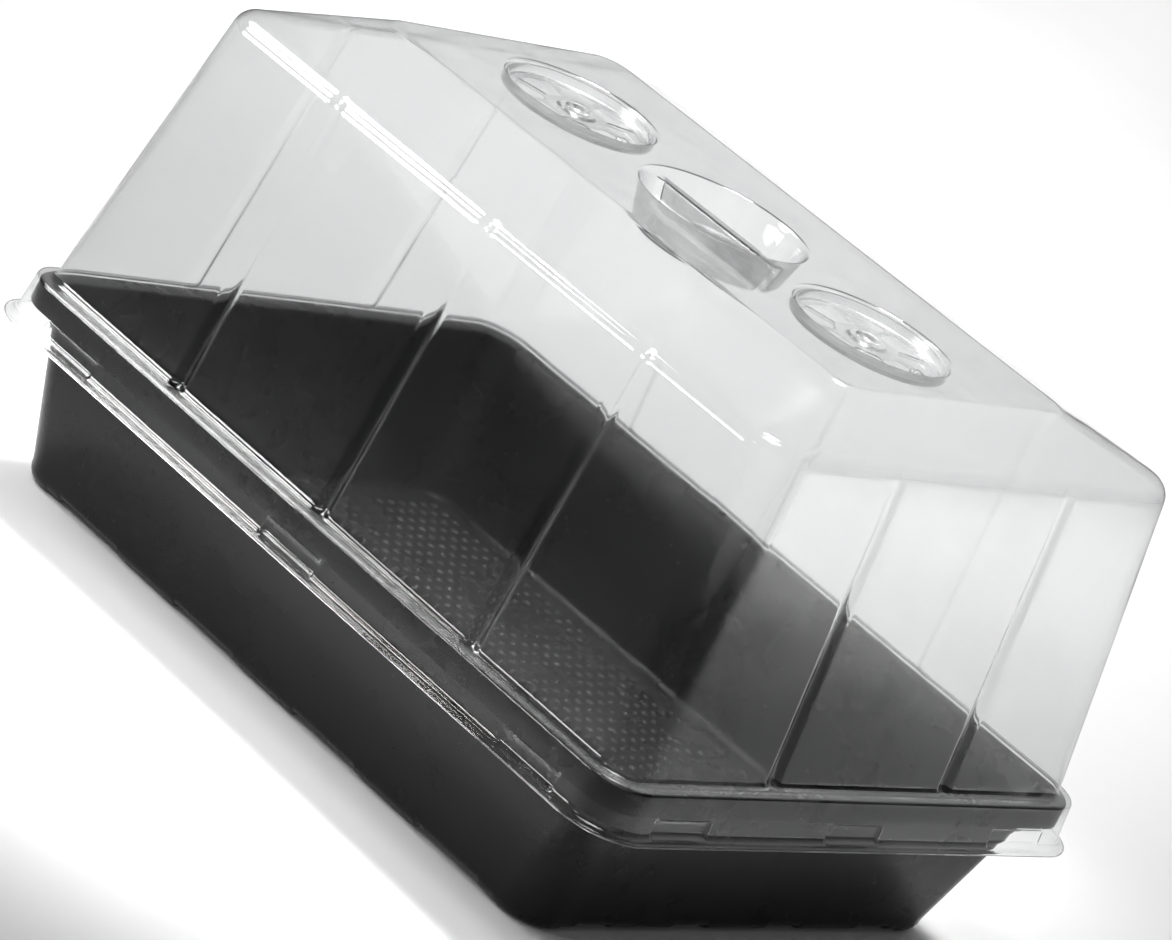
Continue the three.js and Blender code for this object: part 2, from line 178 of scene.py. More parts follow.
class Skin:
    """A mesh under construction."""

    def __init__(self):
        self.bm = bmesh.new()
        self.weights = self.bm.verts.layers.deform.verify()
        self.thin = []

    def ring(self, points):
        return [self.bm.verts.new(p) for p in points]

    def bridge(self, a, b):
        for i in range(len(a)):
            j = (i + 1) % len(a)
            self.bm.faces.new((a[i], a[j], b[j], b[i]))

    def loft(self, rows):
        rings = [self.ring(row) for row in rows]
        for lower, upper in zip(rings, rings[1:]):
            self.bridge(lower, upper)
        return rings

    def fill(self, *loops):
        """Fills the flat region inside the first loop, with the others as holes."""
        edges = []
        for loop in loops:
            for i, v in enumerate(loop):
                w = loop[(i + 1) % len(loop)]
                edges.append(self.bm.edges.get((v, w)) or self.bm.edges.new((v, w)))
        bmesh.ops.triangle_fill(
            self.bm, use_beauty=True, use_dissolve=False, edges=edges, normal=(0, 0, 1)
        )

    def object(self, name, material, thickness=None, sharp=38):
        """The finished object. With a thickness, the skin becomes the outside of a shell."""
        bmesh.ops.recalc_face_normals(self.bm, faces=self.bm.faces)
        for v in self.bm.verts:
            v[self.weights][0] = 1.0
        for v in self.thin:
            v[self.weights][0] = THIN_SHARE
        mesh = bpy.data.meshes.new(name)
        bmesh.ops.scale(self.bm, vec=(MM, MM, MM), verts=self.bm.verts)
        self.bm.to_mesh(mesh)
        self.bm.free()
        made = bpy.data.objects.new(name, mesh)
        bpy.context.scene.collection.objects.link(made)
        if thickness:
            mesh = shell_mesh(made, thickness)
        mesh.shade_smooth()
        mesh.set_sharp_from_angle(angle=math.radians(sharp))
        mesh.materials.clear()
        mesh.materials.append(material)
        return made


def shell_mesh(made, thickness):
    """Thickens an object's skin inwards, by less where its vertices weigh less than 1."""
    made.vertex_groups.new(name="wall")
    shell = made.modifiers.new("wall", "SOLIDIFY")
    shell.thickness = thickness * MM
    shell.offset = -1
    shell.use_quality_normals = True
    shell.vertex_group = "wall"
    graph = bpy.context.evaluated_depsgraph_get()
    made.data = bpy.data.meshes.new_from_object(made.evaluated_get(graph))
    made.modifiers.clear()
    return made.data


def circle(x, radius, z, angles):
    return [Vector((x + radius * math.cos(a), radius * math.sin(a), z)) for a in angles]


def even_angles(count, start=0.0, turn=2 * math.pi):
    return [start + turn * i / count for i in range(count)]


# ---- node helpers ---------------------------------------------------------------------------------


BUMP_DISTANCE = 0.004            # metres


class Graph:
    """Short ways to add shader nodes and join them."""

    def __init__(self, tree):
        self.tree = tree
        tree.nodes.clear()

    def node(self, kind, **inputs):
        made = self.tree.nodes.new(kind)
        for key, value in inputs.items():
            self.set(made, key.replace("_", " "), value)
        return made

    def set(self, node, socket, value):
        target = node.inputs[socket]
        if isinstance(value, bpy.types.NodeSocket):
            self.tree.links.new(value, target)
        else:
            target.default_value = value

    def noise(self, vector, scale, detail=4.0, roughness=0.55):
        made = self.node("ShaderNodeTexNoise", Vector=vector)
        made.inputs["Scale"].default_value = scale
        made.inputs["Detail"].default_value = detail
        made.inputs["Roughness"].default_value = roughness
        return made.outputs["Fac"]

    def remap(self, value, low, high, to_low, to_high):
        made = self.node("ShaderNodeMapRange", Value=value)
        made.inputs["From Min"].default_value = low
        made.inputs["From Max"].default_value = high
        made.inputs["To Min"].default_value = to_low
        made.inputs["To Max"].default_value = to_high
        return made.outputs["Result"]

    def ramp(self, value, stops):
        made = self.node("ShaderNodeValToRGB", Fac=value)
        elements = made.color_ramp.elements
        while len(elements) < len(stops):
            elements.new(0.5)
        for element, (place, colour) in zip(elements, stops):
            element.position = place
            element.color = (*colour, 1.0)
        return made.outputs["Color"]

    def math(self, operation, a, b):
        made = self.node("ShaderNodeMath")
        made.operation = operation
        self.set(made, 0, a)
        self.set(made, 1, b)
        return made.outputs["Value"]

    def bump(self, height, strength):
        made = self.node("ShaderNodeBump", Height=height)
        made.inputs["Strength"].default_value = strength
        made.inputs["Distance"].default_value = BUMP_DISTANCE
        return made.outputs["Normal"]

    def surface(self, shader, kind="ShaderNodeOutputMaterial"):
        out = self.node(kind)
        self.set(out, "Surface", shader)


def new_material(name):
    material = bpy.data.materials.new(name)
    material.use_nodes = True
    return material, Graph(material.node_tree)


def clear_plastic(name, tint, smoothest, dullest, ripple):
    """Clear polystyrene: faint moulding ripple, cloudy patches and fine handling scuffs."""
    material, g = new_material(name)
    place = g.node("ShaderNodeTexCoord").outputs["Object"]
    cloud = g.noise(place, 9.0, 3.0)
    scuff = g.noise(place, 60.0, 2.0)
    slow = g.noise(place, 22.0, 1.0)
    colour = g.ramp(cloud, [(0.3, tuple(c * 0.985 for c in tint)), (0.7, tint)])
    marks = g.math("ADD", g.math("MULTIPLY", cloud, 0.5), g.math("MULTIPLY", scuff, 0.5))
    roughness = g.remap(marks, 0.35, 0.7, smoothest, dullest)
    normal = g.bump(slow, ripple)
    shader = g.node("ShaderNodeBsdfPrincipled", Base_Color=colour, Roughness=roughness, Normal=normal)
    shader.inputs["IOR"].default_value = 1.5
    shader.inputs["Transmission Weight"].default_value = 1.0
    lamp_way = g.node("ShaderNodeBsdfTransparent")       # so that the lamps reach what is inside
    lamp_way.inputs["Color"].default_value = (0.9, 0.9, 0.9, 1.0)
    pick = g.node("ShaderNodeMixShader")
    g.set(pick, 0, g.node("ShaderNodeLightPath").outputs["Is Shadow Ray"])
    g.set(pick, 1, shader.outputs["BSDF"])
    g.set(pick, 2, lamp_way.outputs["BSDF"])
    g.surface(pick.outputs["Shader"])
    return material


def black_plastic():
    """Recycled black polypropylene: satin, with flow marks, dusty patches and paler rubbed edges."""
    material, g = new_material("black_plastic")
    place = g.node("ShaderNodeTexCoord").outputs["Object"]
    flow = g.noise(place, 14.0, 5.0)
    dust = g.noise(place, 60.0, 3.0)
    edge = g.remap(g.node("ShaderNodeNewGeometry").outputs["Pointiness"], 0.5, 0.56, 0.0, 1.0)
    worn = g.math("MULTIPLY", edge, dust)
    tone = g.math("ADD", g.math("MULTIPLY", flow, 0.6), g.math("MULTIPLY", worn, 0.6))
    colour = g.ramp(tone, [(0.2, (0.003, 0.003, 0.0032)), (0.9, (0.010, 0.010, 0.0103))])
    marks = g.math("ADD", g.math("MULTIPLY", flow, 0.6), g.math("MULTIPLY", dust, 0.4))
    roughness = g.remap(marks, 0.3, 0.7, 0.24, 0.32)
    normal = g.bump(flow, 0.03)
    shader = g.node("ShaderNodeBsdfPrincipled", Base_Color=colour, Roughness=roughness, Normal=normal)
    shader.inputs["IOR"].default_value = 1.49
    shader.inputs["Specular IOR Level"].default_value = 0.24
    g.surface(shader.outputs["BSDF"])
    return material


def studio_floor():
    material, g = new_material("studio_floor")
    place = g.node("ShaderNodeTexCoord").outputs["Object"]
    mottle = g.noise(place, 3.0, 3.0)
    colour = g.ramp(mottle, [(0.3, (0.84, 0.84, 0.84)), (0.7, (0.87, 0.87, 0.87))])
    shader = g.node("ShaderNodeBsdfPrincipled", Base_Color=colour)
    shader.inputs["Roughness"].default_value = 0.9
    shader.inputs["Specular IOR Level"].default_value = 0.1
    g.surface(shader.outputs["BSDF"])
    return material


# ---- dome -----------------------------------------------------------------------------------------


def dome_ring():
    flute = [0, 1.0, 2.0, 3.0, 4.0, 5.0, 5.8, 6.6, 8.0]
    offsets = sorted({s * f for f in flute for s in (-1, 1)})
    lug_edge = [-2.4, -1.4, -0.7, 0.0, 0.7, 1.4, 2.4]
    long_features = [c + o for c in LONG_FLUTES for o in offsets]
    long_features += [c + s * LUG_HALF + o for c in LONG_LUGS for s in (-1, 1) for o in lug_edge]
    short_features = [c + o for c in SHORT_FLUTES for o in offsets]
    short_features += [c + s * LUG_HALF + o for c in SHORT_LUGS for s in (-1, 1) for o in lug_edge]
    long_reach, short_reach = DOME_STATIONS
    long = stations(long_reach, DOME_STEP, long_features)
    short = stations(short_reach, DOME_STEP, short_features)
    return Ring(long, short, *DOME_FIXED, (short_reach, long_reach))


def flute_dent(strength):
    def dent(side, t):
        places = SHORT_FLUTES if side % 2 == 0 else LONG_FLUTES
        near = min(abs(t - p) for p in places)
        return strength * FLUTE_DEPTH * (0.5 + 0.5 * math.cos(math.pi * min(near / FLUTE_HALF, 1)))

    return dent


def lug_dent(strength):
    def dent(side, t):
        places = SHORT_LUGS if side % 2 == 0 else LONG_LUGS
        near = min(abs(t - p) for p in places)
        return strength * LUG_DEPTH * smooth(LUG_HALF + 1, LUG_HALF - 1, near)

    return dent


def dome_wall_rows():
    """(outline, inset, height above the ledge's underside, flute strength, lug strength)."""
    rows = [
        (DOME_LIP, 0.35, -LIP_DROP, 0, 0),
        (DOME_LIP, 0.0, -23.9, 0, 0),
        (DOME_LIP, 0.0, -23.3, 0, 0),
        (DOME_LIP, 0.3, -22.8, 0, 0),
        (DOME_LIP, 1.0, -22.45, 0, 0),
        (DOME_LIP, 2.2, -22.2, 0, 0),
        (DOME_LIP, 3.3, -21.95, 0, 0),
        (DOME_SKIRT_FOOT, -1.5, -21.4, 0, 0.25),
        (DOME_SKIRT_FOOT, -0.8, -20.8, 0, 0.75),
        (DOME_SKIRT_FOOT, -0.3, -19.9, 0, 1.0),
        (DOME_SKIRT_FOOT, 0.0, -18.6, 0, 1.0),
    ]
    foot, top = -18.6, -0.2
    skirt = [(-17, 1), (-15, 1), (-13.6, 1), (-12.9, 0.8), (-12.3, 0.3), (-11.7, 0)]
    skirt += [(z, 0) for z in (-9, -6, -3, -1.2, -0.2)]
    for z, lug in skirt:
        outline = blend_outline(DOME_SKIRT_FOOT, DOME_SKIRT_TOP, (z - foot) / (top - foot))
        rows.append((outline, 0.0, z, 0, lug))
    rows += [
        (DOME_SKIRT_TOP, 0.2, 0.5, 0, 0),
        (DOME_SKIRT_TOP, 0.7, 1.25, 0, 0),
        (DOME_SKIRT_TOP, 1.5, 1.75, 0, 0),
        (DOME_SKIRT_TOP, 2.5, 1.95, 0, 0),
        (DOME_SKIRT_TOP, 3.6, 2.0, 0, 0),
        (DOME_WALL_FOOT, -3.9, 2.0, 0, 0),
        (DOME_WALL_FOOT, -3.0, 2.12, 0.0, 0),
        (DOME_WALL_FOOT, -2.0, 2.55, 0.25, 0),
        (DOME_WALL_FOOT, -1.1, 3.4, 0.6, 0),
        (DOME_WALL_FOOT, -0.45, 4.7, 0.85, 0),
        (DOME_WALL_FOOT, -0.1, 6.2, 1.0, 0),
        (DOME_WALL_FOOT, 0.0, 8.0, 1.0, 0),
    ]
    foot, top, steps = 8.0, 169.5, 9
    for i in range(1, steps + 1):
        f = WALL_SHARE * i / steps
        outline = blend_outline(DOME_WALL_FOOT, DOME_SHOULDER, f)
        rows.append((outline, 0.0, foot + (top - foot) * f, 1.0 - FLUTE_FADE * f, 0))
    bends = 12
    for i in range(1, bends + 1):
        turn = SHOULDER_FOOT_ANGLE + (SHOULDER_TOP_ANGLE - SHOULDER_FOOT_ANGLE) * i / bends
        inset = SHOULDER_INSET - SHOULDER_RADIUS * math.cos(turn)
        z = SHOULDER_CENTRE + SHOULDER_RADIUS * math.sin(turn)
        rows.append((DOME_SHOULDER, inset, z, (1 - FLUTE_FADE) * (1 - (i / bends) ** 2), 0))
    border_foot = grown(DOME_SHOULDER, -BORDER_INSET)
    border_top = grown(ROOF_PANEL, PANEL_EDGE)
    for f in (0.25, 0.5, 0.75):
        z = BORDER_FOOT + (BORDER_TOP - BORDER_FOOT) * f
        rows.append((blend_outline(border_foot, border_top, f), 0.0, z, 0, 0))
    rows += [
        (ROOF_PANEL, -PANEL_EDGE, BORDER_TOP, 0, 0),
        (ROOF_PANEL, -1.6, PANEL_RISE - 0.8, 0, 0),
        (ROOF_PANEL, -0.7, PANEL_RISE - 0.4, 0, 0),
        (ROOF_PANEL, 0.3, PANEL_RISE - 0.13, 0, 0),
        (ROOF_PANEL, 1.4, PANEL_RISE, 0, 0),
        (ROOF_PANEL, 2.8, PANEL_RISE, 0, 0),
    ]
    return rows


SEAT_RADIUS = 43.5
SEAT_DEPTH = 7.0
SLOT_INNER = 18.0
SLOT_OUTER = 36.0
SLOT_HALF_ANGLE = math.radians(20)
SLOT_CORNER = 2.5
SLOTS = 4
STUD_HOLE = 3.3
GRIP_TOP = 47.5
GRIP_FOOT = 41.5
GRIP_DEPTH = 22.0
BAR_DROP = 5.0
BAR_HALF = 4.0
BAR_EDGE = 0.9
GRIP_STEPS = 44                  # along each of its two arcs
BAR_END_STEPS = 4
CHORD_STEPS = 24
AROUND = 96                      # steps round a vent
STUD_SIDES = 24


def slot_loop(x, z, middle):
    """A sector-shaped slot with round corners, centred on the angle middle."""
    outer_turn, inner_turn = SLOT_CORNER / SLOT_OUTER, SLOT_CORNER / SLOT_INNER
    half = [(SLOT_OUTER, (SLOT_HALF_ANGLE - outer_turn) * share) for share in (0.25, 0.5, 0.75)]
    bends = [math.pi / 2 * step / 4 for step in range(5)]
    for bend in bends:
        radius = SLOT_OUTER - SLOT_CORNER * (1 - math.cos(bend))
        half.append((radius, SLOT_HALF_ANGLE - outer_turn * (1 - math.sin(bend))))
    for bend in bends:
        radius = SLOT_INNER + SLOT_CORNER * (1 - math.sin(bend))
        half.append((radius, SLOT_HALF_ANGLE - inner_turn * (1 - math.cos(bend))))
    half += [(SLOT_INNER, (SLOT_HALF_ANGLE - inner_turn) * share) for share in (0.75, 0.5, 0.25)]
    loop = [(SLOT_OUTER, 0.0), *half, (SLOT_INNER, 0.0)]
    loop += [(radius, -angle) for radius, angle in reversed(half)]
    return [
        Vector((x + r * math.cos(middle + a), r * math.sin(middle + a), z)) for r, a in loop
    ]


def vent_seat(skin, x):
    """A shallow round recess with slots and a stud hole in its floor. Returns its outer ring."""
    angles = even_angles(AROUND)
    profile = [
        (46.6, 0), (45.3, 0), (44.7, -0.08), (44.1, -0.4), (43.7, -1.0), (SEAT_RADIUS, -1.9),
        (SEAT_RADIUS, -5.3), (43.35, -6.0), (42.9, -6.6), (42.2, -6.93), (41.4, -SEAT_DEPTH),
        (40.0, -SEAT_DEPTH),
    ]
    rings = skin.loft([circle(x, r, PANEL_Z + z, angles) for r, z in profile])
    floor = PANEL_Z - SEAT_DEPTH
    slots = [skin.ring(slot_loop(x, floor, i * 2 * math.pi / SLOTS)) for i in range(SLOTS)]
    hole = skin.ring(circle(x, STUD_HOLE, floor, even_angles(STUD_SIDES)))
    skin.fill(rings[-1], *slots, hole)
    skin.thin += [v for loop in (*rings[-3:], *slots, hole) for v in loop]
    return rings[0]


def grip_angles():
    """Angles along the front arc, from bar end to bar end, and across the bar's left end."""
    rim = GRIP_TOP - (GRIP_TOP - GRIP_FOOT) * BAR_DROP / GRIP_DEPTH
    start = math.asin((BAR_HALF - BAR_EDGE) / rim)
    arc = [start + (math.pi - 2 * start) * i / GRIP_STEPS for i in range(GRIP_STEPS + 1)]
    end = [math.pi - start + 2 * start * i / BAR_END_STEPS for i in range(1, BAR_END_STEPS)]
    return arc, end


def grip(skin):
    """The round hand grip with a hollow bar across it. Returns its outer ring."""
    arc, end = grip_angles()
    angles = arc + end + [a + math.pi for a in arc] + [a + math.pi for a in end]

    def wall_radius(drop):
        return GRIP_TOP - (GRIP_TOP - GRIP_FOOT) * drop / GRIP_DEPTH

    profile = [
        (50.6, 0), (49.2, 0), (48.6, -0.08), (48.1, -0.4), (47.7, -1.0), (wall_radius(1.9), -1.9),
        (wall_radius(BAR_DROP), -BAR_DROP),
    ]
    rings = skin.loft([circle(0, r, PANEL_Z + z, angles) for r, z in profile])
    top = rings[-1]
    count, ends = len(arc), len(end)
    front = top[:count]
    left_end = top[count:count + ends]
    back = top[count + ends:2 * count + ends]
    right_end = top[2 * count + ends:]
    front_chord = half_well(skin, front, 1, wall_radius)
    back_chord = half_well(skin, back, -1, wall_radius)
    bar_top = [front[-1], *left_end, back[0], *reversed(back_chord)]
    bar_top += [back[-1], *right_end, front[0], *reversed(front_chord)]
    skin.fill(bar_top)
    return rings[0]


def half_well(skin, arc_top, sign, wall_radius):
    """One half-moon well. Returns the points of its chord at the top of the bar."""
    # Depth, distance of the straight side from the bar's middle, and how far the arc is drawn in.
    rows = [
        (BAR_DROP, BAR_HALF - BAR_EDGE, 0.0),
        (BAR_DROP + 0.15, BAR_HALF - 0.4, 0.0),
        (BAR_DROP + 0.6, BAR_HALF - 0.1, 0.0),
        (BAR_DROP + 1.4, BAR_HALF, 0.0),
        (GRIP_DEPTH - 2.2, BAR_HALF + 0.5, 0.0),
        (GRIP_DEPTH - 1.2, BAR_HALF + 0.8, 0.3),
        (GRIP_DEPTH - 0.4, BAR_HALF + 1.4, 0.9),
        (GRIP_DEPTH, BAR_HALF + 2.4, 1.9),
        (GRIP_DEPTH, BAR_HALF + 3.8, 3.3),
    ]
    count = len(arc_top)
    previous = None
    chord_top = None
    for drop, offset, inset in rows:
        radius = wall_radius(drop) - inset
        z = PANEL_Z - drop
        start = math.asin(offset / radius)
        turn = 0 if sign > 0 else math.pi
        arc = [turn + start + (math.pi - 2 * start) * i / (count - 1) for i in range(count)]
        half = radius * math.cos(start)
        chord = [
            Vector((sign * (-half + 2 * half * i / CHORD_STEPS), sign * offset, z))
            for i in range(1, CHORD_STEPS)
        ]
        if previous is None:
            chord_top = skin.ring(chord)
            current = [*arc_top, *chord_top]
        else:
            current = skin.ring(circle(0, radius, z, arc) + chord)
            skin.bridge(previous, current)
        previous = current
    skin.fill(previous)
    return chord_top


def make_dome(material):
    skin = Skin()
    ring = dome_ring()
    rows = []
    for outline, inset, z, flute, lug in dome_wall_rows():
        dent = flute_dent(flute) if flute else lug_dent(lug) if lug else None
        rows.append(ring.points(outline, inset, DOME_BASE + z, dent))
    rings = skin.loft(rows)
    holes = [vent_seat(skin, x) for x in VENTS.values()] + [grip(skin)]
    skin.fill(rings[-1], *holes)
    dome = skin.object("clear_dome", material, thickness=DOME_WALL)
    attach(dome, "dome")
    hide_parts("dome")
    return dome


# ---- vent discs and studs -------------------------------------------------------------------------

DISC_BOTTOM = 6.7                # below the roof panel
DISC_PLATE = 0.7
DISC_RIM_TOP = 1.2
HUB_TOP = 5.1
TAB_MIDDLE = 35.4                # from the stud
TAB_REACH = 5
TAB_WIDTH = 7
TAB_CORNER = 1.2
RUNNING_GAP = 0.3
BARB_DROP = 2.3                  # below the seat's floor
STUD_STEPS = 40


def tab_loop(x, trim, z):
    """A rounded rectangle between two slots, where a fingertip pushes the disc round."""
    along = TAB_REACH / 2 - TAB_CORNER
    across = TAB_WIDTH / 2 - TAB_CORNER
    corner = TAB_CORNER - trim
    loop = []
    for quarter, (sx, sy) in enumerate(((1, 1), (-1, 1), (-1, -1), (1, -1))):
        for a in even_angles(4, quarter * math.pi / 2, math.pi * 2 / 3):
            out = x + TAB_MIDDLE + sx * along + corner * math.cos(a)
            side = sy * across + corner * math.sin(a)
            loop.append(Vector((out, side, z)))
    return loop


def make_disc(name, x, material):
    skin = Skin()
    angles = even_angles(AROUND)
    z = PANEL_Z - DISC_BOTTOM
    plate = z + DISC_PLATE
    rim = PANEL_Z - DISC_RIM_TOP
    under = skin.loft([circle(x, r, h, angles) for r, h in (
        (40.6, z), (41.9, z), (42.4, z + 0.2), (42.6, z + 0.7), (42.6, rim - 0.6), (42.4, rim - 0.15),
        (42.0, rim), (41.6, rim), (41.2, rim - 0.15), (41.0, rim - 0.6), (40.9, plate + 0.9),
        (40.6, plate + 0.3), (40.0, plate), (38.8, plate))])
    crown = PANEL_Z - HUB_TOP
    hub = skin.loft([circle(x, r, h, angles) for r, h in (
        (12.4, plate), (11.6, plate), (11.1, plate + 0.1), (10.8, plate + 0.4), (10.4, crown - 0.1),
        (9.8, crown), (8.8, crown))])
    hole_top = skin.ring(circle(x, STUD_HOLE, crown, even_angles(STUD_SIDES)))
    hole_under = skin.ring(circle(x, STUD_HOLE, z, even_angles(STUD_SIDES)))
    skin.bridge(hole_top, hole_under)
    upper, lower = [], []
    for i in range(SLOTS):
        middle = (i + 0.5) * 2 * math.pi / SLOTS
        top = skin.ring(slot_loop(x, plate, middle))
        bottom = skin.ring(slot_loop(x, z, middle))
        skin.bridge(top, bottom)
        upper.append(top)
        lower.append(bottom)
    tab = skin.loft([tab_loop(x, trim, h) for trim, h in (
        (0, plate), (0, rim - 1.6), (0.1, rim - 1.25), (0.4, rim - 1.0))])
    skin.fill(tab[-1])
    skin.fill(under[-1], *upper, hub[0], tab[0])
    skin.fill(hub[-1], hole_top)
    skin.fill(under[0], *lower, hole_under)
    disc = skin.object(f"{name}_shutter", material)
    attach(disc, name)
    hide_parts(f"{name}_disc")
    return disc


def make_stud(name, x, material):
    """A push-in stud with a domed head, and a barb under the seat."""
    skin = Skin()
    head = PANEL_Z - HUB_TOP + RUNNING_GAP
    barb = PANEL_Z - SEAT_DEPTH - BARB_DROP
    angles = even_angles(STUD_STEPS)
    profile = [
        (0.6, barb - 3.0), (1.6, barb - 2.9), (2.1, barb - 2.7), (3.9, barb - 0.9), (4.2, barb - 0.4),
        (4.1, barb), (3.0, barb), (3.0, barb + 0.8), (3.0, head - 0.8), (3.0, head), (6.5, head),
        (6.9, head + 0.15), (7.0, head + 0.5), (6.7, head + 0.9), (5.9, head + 1.3), (4.4, head + 1.7),
        (2.4, head + 1.93), (0.6, head + 2.0),
    ]
    rings = skin.loft([circle(x, r, z, angles) for r, z in profile])
    skin.fill(rings[0])
    skin.fill(rings[-1])
    stud = skin.object(f"{name}_pivot_stud", material, sharp=32)
    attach(stud, "dome")
    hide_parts(f"{name}_stud")
    return stud


# ---- tray -----------------------------------------------------------------------------------------

LONG_ARCHES = (-150, -50, 50, 150)
LONG_ARCH_HALF = 25
SHORT_ARCHES = (-112.5, -37.5, 37.5, 112.5)
SHORT_ARCH_HALF = 13.5
FOOT_LENGTH = 28
PAD_HEIGHT = 1.2
ARCH_HEIGHT = 3.2
ARCH_EDGE = 1.2
FLOOR_TOP = 8.0
TRAY_STATIONS = (191, 142)       # how far the stations go along a long and a short side
TRAY_STEP = 9


def tray_ring():
    edge = [-2.0, -1.0, 0.0, 1.0, 2.0]
    foot_x = TRAY_WALL_FOOT[0] / 2 - FOOT_LENGTH
    foot_y = TRAY_WALL_FOOT[1] / 2 - FOOT_LENGTH
    long = [c + s * LONG_ARCH_HALF + o for c in LONG_ARCHES for s in (-1, 1) for o in edge]
    long += [s * foot_x + o for s in (-1, 1) for o in edge]
    short = [c + s * SHORT_ARCH_HALF + o for c in SHORT_ARCHES for s in (-1, 1) for o in edge]
    short += [s * foot_y + o for s in (-1, 1) for o in edge]
    long_reach, short_reach = TRAY_STATIONS
    return Ring(
        stations(long_reach, TRAY_STEP, long), stations(short_reach, TRAY_STEP, short),
        long_reach, short_reach, (short_reach, long_reach),
    )


def base_lift(side, t):
    """How far the standing ring is cut away above the ground."""
    long = side % 2 == 1
    arches, half = (LONG_ARCHES, LONG_ARCH_HALF) if long else (SHORT_ARCHES, SHORT_ARCH_HALF)
    near = min(abs(t - c) for c in arches)
    foot = (TRAY_WALL_FOOT[0] if long else TRAY_WALL_FOOT[1]) / 2 - FOOT_LENGTH
    pad = PAD_HEIGHT * smooth(foot + ARCH_EDGE, foot - ARCH_EDGE, abs(t))
    arch = smooth(half + ARCH_EDGE, half - ARCH_EDGE, near)
    return pad + (ARCH_HEIGHT - PAD_HEIGHT) * arch * (1 if abs(t) < foot + 2 else 0)


def make_tray(material):
    """One skin that runs from the floor up inside, over the rim, down outside and in under the base."""
    skin = Skin()
    ring = tray_ring()
    row = ring.points

    def low_row(outline, inset, z, share):
        found = ring.points(outline, inset, z)
        for point, (side, t, _) in zip(found, ring.columns):
            if t is not None:
                point.z += base_lift(side, t) * share
        return found

    wall, rim, foot = TRAY_WALL_TOP, TRAY_RIM, TRAY_WALL_FOOT
    inner = 2.4
    rows = [row(foot, inner + 7.0, FLOOR_TOP), row(foot, inner + 4.5, FLOOR_TOP)]
    rows += [row(foot, inner + i, FLOOR_TOP + z) for i, z in ((2.6, 0.3), (1.2, 1.2), (0.35, 2.6))]
    rows += [
        row(blend_outline(foot, wall, f), inner, FLOOR_TOP + 4 + (TRAY_TOP - FLOOR_TOP - 6) * f)
        for f in (0.0, 0.25, 0.5, 0.75, 1.0)
    ]
    rows += [row(wall, inner - i, TRAY_TOP - z) for i, z in ((0.3, 1.0), (0.8, 0.35), (1.6, 0.0))]
    rows += [row(rim, i, TRAY_TOP - z) for i, z in (
        (3.0, 0.0), (1.6, 0.0), (0.8, 0.2), (0.25, 0.7), (0.0, 1.5), (0.0, 7.0), (0.0, 12.4),
        (0.2, 12.85), (0.7, 13.0), (1.5, 13.0), (2.0, 12.85), (2.2, 12.4), (2.2, 4.0), (2.6, 2.9),
        (3.6, 2.4))]
    rows += [row(wall, i, TRAY_TOP - z) for i, z in ((-1.8, 2.4), (-0.7, 2.8), (0.0, 4.0))]
    rows += [
        row(blend_outline(wall, foot, f), 0, TRAY_TOP - 4 - (TRAY_TOP - 4 - 9) * f)
        for f in (0.2, 0.4, 0.6, 0.8, 1.0)
    ]
    rows += [low_row(foot, i, z, s) for i, z, s in (
        (0.3, 6.4, 0.15), (1.0, 4.2, 0.45), (2.2, 2.2, 0.7), (3.8, 0.8, 0.9), (5.6, 0.1, 1.0),
        (6.4, 0.0, 1.0), (12.4, 0.0, 1.0), (13.0, 0.2, 1.0), (13.6, 1.0, 0.9), (14.2, 4.0, 0.2))]
    rows += [row(foot, 15.0, 4.8), row(foot, 18.0, 4.8)]
    rings = skin.loft(rows)
    skin.fill(rings[0])
    skin.fill(rings[-1])
    tray = skin.object("black_tray", material)
    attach(tray, "tray")
    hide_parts("tray")
    return tray


PIP_PITCH = 9.2
PIP_RADIUS = 2.3
PIP_HEIGHT = 1.3
PIP_COUNT = (43, 33)
PIP_SIDES = 8


def make_pip(skin, x, y):
    """One low dome, its foot sunk a little into the floor. Its profile is in radii and heights."""
    rings = []
    for spread, rise in ((1.0, -0.25), (0.92, 0.12), (0.72, 0.5), (0.4, 0.83)):
        points = circle(x, PIP_RADIUS * spread, FLOOR_TOP + PIP_HEIGHT * rise, even_angles(PIP_SIDES))
        rings.append([p + Vector((0, y, 0)) for p in points])
    rings = skin.loft(rings)
    peak = skin.bm.verts.new((x, y, FLOOR_TOP + PIP_HEIGHT))
    base = skin.bm.verts.new((x, y, FLOOR_TOP - PIP_HEIGHT * 0.25))
    first, last = rings[0], rings[-1]
    for k in range(PIP_SIDES):
        after = (k + 1) % PIP_SIDES
        skin.bm.faces.new((last[k], last[after], peak))
        skin.bm.faces.new((first[after], first[k], base))


def make_pips(material):
    """The grid of small bumps on the tray's floor that holds pots clear of standing water."""
    skin = Skin()
    count_x, count_y = PIP_COUNT
    for i in range(count_x):
        for j in range(count_y):
            make_pip(skin, (i - (count_x - 1) / 2) * PIP_PITCH, (j - (count_y - 1) / 2) * PIP_PITCH)
    pips = skin.object("tray_floor_pips", material, sharp=60)
    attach(pips, "tray")
    return pips


# ---- camera, floor and light ----------------------------------------------------------------------

AZIMUTH = math.radians(36.556)
ELEVATION = math.radians(17.519)
ROLL = math.radians(27.476)      # the camera was turned, so the object leans in the picture
DISTANCE = 3203.0
LOOK_AT = (15.3, 34.0)           # to the right of and above the middle of the ledge, in the picture
LEDGE_HEIGHT = 102.0
LENS = 190.0
SENSOR = 36.0
FLOOR_HALF = 7000
FLOOR_PARTS = 8
FLOOR_DROP = 0.5                 # below the feet

